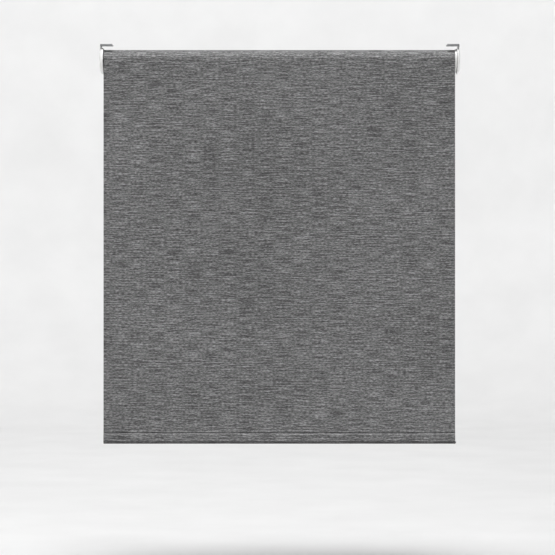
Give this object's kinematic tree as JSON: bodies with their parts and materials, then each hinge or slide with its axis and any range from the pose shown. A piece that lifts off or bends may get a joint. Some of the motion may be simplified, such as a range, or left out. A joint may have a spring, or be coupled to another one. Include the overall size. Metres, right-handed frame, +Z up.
{
  "type": "roller blind",
  "caption": "Inside-fit roller blind: dark cloth winds on a tube turned by a battery motor inside it, held between two top-fixed end brackets, with a bar in the hem.",
  "frame": {"origin": "middle of the recess head, level with the tops of both brackets and above the axis of the roll", "axes": "+X along the roll towards the motor end, -Y into the room, +Z up to the recess head"},
  "size_m": [0.895, 0.066, 0.9925],
  "materials": {
    "dark_grey_cloth": "plain woven, matt",
    "white_gloss_plastic": "gloss moulded",
    "zinc_plated_steel": "zinc plated",
    "plain_steel": "machined",
    "aluminium": "extruded",
    "natural_nylon": "moulded",
    "black_plastic": "moulded",
    "grey_plastic": "moulded",
    "cell_sleeve": "shrink sleeve over a cell",
    "circuit_board": "solder mask",
    "copper_winding": "enamelled copper winding",
    "nickel_magnet": "nickel plated magnet",
    "lamp_lens": "clear",
    "brass": "sintered or cut"
  },
  "bodies": {
    "frame": {"bracket_left": "zinc_plated_steel", "bracket_right": "zinc_plated_steel", "bracket_cover_left": "white_gloss_plastic", "bracket_cover_right": "white_gloss_plastic", "pin_bush": "natural_nylon", "head_socket": "natural_nylon", "motor_head": "white_gloss_plastic", "head_cover": "white_gloss_plastic", "head_cover_screw_1": "zinc_plated_steel", "head_cover_screw_2": "zinc_plated_steel", "head_board": "circuit_board", "charge_socket": "zinc_plated_steel", "button_switch": "black_plastic", "status_lens": "lamp_lens", "motor_housing": "aluminium", "battery_tray": "black_plastic", "battery_cell_1": "cell_sleeve", "battery_cell_2": "cell_sleeve", "battery_cell_3": "cell_sleeve", "control_board": "circuit_board", "brake_shell": "plain_steel", "brake_magnet_ring": "nickel_magnet", "motor_front_plate": "plain_steel", "motor_rear_plate": "plain_steel", "motor_can": "plain_steel", "wound_stator": "copper_winding", "motor_bearing_front": "plain_steel", "motor_bearing_rear": "plain_steel", "ring_gear": "plain_steel", "gearbox_cover": "grey_plastic", "output_bearing": "brass", "fabric_drop": "dark_grey_cloth"},
    "roller": {"roller_tube": "aluminium", "fabric_roll": "dark_grey_cloth", "fabric_spline": "grey_plastic", "idle_plug": "grey_plastic", "idle_plug_cap": "grey_plastic", "idle_spring": "plain_steel", "crown_ring": "natural_nylon", "drive_wheel": "natural_nylon", "drive_clip": "plain_steel", "output_carrier": "plain_steel"},
    "pin": {"idle_pin": "zinc_plated_steel"},
    "first_stage": {"first_carrier": "natural_nylon"},
    "rotor": {"motor_shaft": "plain_steel", "sun_pinion": "brass", "rotor_magnet": "nickel_magnet", "brake_rotor": "plain_steel"},
    "bottom_rail": {"bottom_bar": "aluminium", "bar_end_cap_left": "grey_plastic", "bar_end_cap_right": "grey_plastic", "hem_pocket": "dark_grey_cloth"},
    "button": {"program_button": "grey_plastic"},
    "first_planet_a": {"first_planet_a": "natural_nylon"},
    "first_planet_b": {"first_planet_b": "natural_nylon"},
    "first_planet_c": {"first_planet_c": "natural_nylon"},
    "second_planet_a": {"second_planet_a": "plain_steel"},
    "second_planet_b": {"second_planet_b": "plain_steel"},
    "second_planet_c": {"second_planet_c": "plain_steel"}
  },
  "joints": [
    {"name": "roller_spin", "type": "hinge", "parent": "frame", "child": "roller", "pos_m": [0, 0, -0.0402], "axis": [-1, 0, 0], "range_deg": [0, 1909.5]},
    {"name": "bar_lift", "type": "slide", "parent": "frame", "child": "bottom_rail", "axis": [0, 0, 1], "range_m": [0, 0.9], "deforming": ["fabric_drop"]},
    {"name": "first_stage_spin", "type": "hinge", "parent": "frame", "child": "first_stage", "pos_m": [0.052, 0, -0.0402], "axis": [-1, 0, 0], "range_deg": [0, 8593]},
    {"name": "rotor_spin", "type": "hinge", "parent": "frame", "child": "rotor", "pos_m": [0.085, 0, -0.0402], "axis": [-1, 0, 0], "range_deg": [0, 38668]},
    {"name": "second_planet_a_spin", "type": "hinge", "parent": "roller", "child": "second_planet_a", "pos_m": [0.0454, 0.00945, -0.0402], "axis": [-1, 0, 0], "range_deg": [-5347, 0]},
    {"name": "first_planet_a_spin", "type": "hinge", "parent": "first_stage", "child": "first_planet_a", "pos_m": [0.0565, 0.00945, -0.0402], "axis": [-1, 0, 0], "range_deg": [-24060, 0]},
    {"name": "second_planet_b_spin", "type": "hinge", "parent": "roller", "child": "second_planet_b", "pos_m": [0.0454, -0.00473, -0.03202], "axis": [-1, 0, 0], "range_deg": [-5347, 0]},
    {"name": "first_planet_b_spin", "type": "hinge", "parent": "first_stage", "child": "first_planet_b", "pos_m": [0.0565, -0.00473, -0.03202], "axis": [-1, 0, 0], "range_deg": [-24060, 0]},
    {"name": "second_planet_c_spin", "type": "hinge", "parent": "roller", "child": "second_planet_c", "pos_m": [0.0454, -0.00473, -0.04838], "axis": [-1, 0, 0], "range_deg": [-5347, 0]},
    {"name": "first_planet_c_spin", "type": "hinge", "parent": "first_stage", "child": "first_planet_c", "pos_m": [0.0565, -0.00473, -0.04838], "axis": [-1, 0, 0], "range_deg": [-24060, 0]},
    {"name": "pin_push", "type": "slide", "parent": "roller", "child": "pin", "axis": [1, 0, 0], "range_m": [0, 0.0074], "stiffness_N_per_m": 900, "springref_m": -0.008, "deforming": ["idle_spring"]},
    {"name": "button_press", "type": "slide", "parent": "frame", "child": "button", "axis": [0, -0.5299, 0.848], "range_m": [0, 0.0007], "stiffness_N_per_m": 1200, "springref_m": -0.0006}
  ],
  "couplings": [
    {"joint": "bar_lift", "follows": "roller_spin", "m_per_rad": 0.027},
    {"joint": "first_stage_spin", "follows": "roller_spin", "ratio": 4.5},
    {"joint": "rotor_spin", "follows": "roller_spin", "ratio": 20.25},
    {"joint": "second_planet_a_spin", "follows": "roller_spin", "ratio": -2.8},
    {"joint": "first_planet_a_spin", "follows": "roller_spin", "ratio": -12.6},
    {"joint": "second_planet_b_spin", "follows": "roller_spin", "ratio": -2.8},
    {"joint": "first_planet_b_spin", "follows": "roller_spin", "ratio": -12.6},
    {"joint": "second_planet_c_spin", "follows": "roller_spin", "ratio": -2.8},
    {"joint": "first_planet_c_spin", "follows": "roller_spin", "ratio": -12.6}
  ]
}
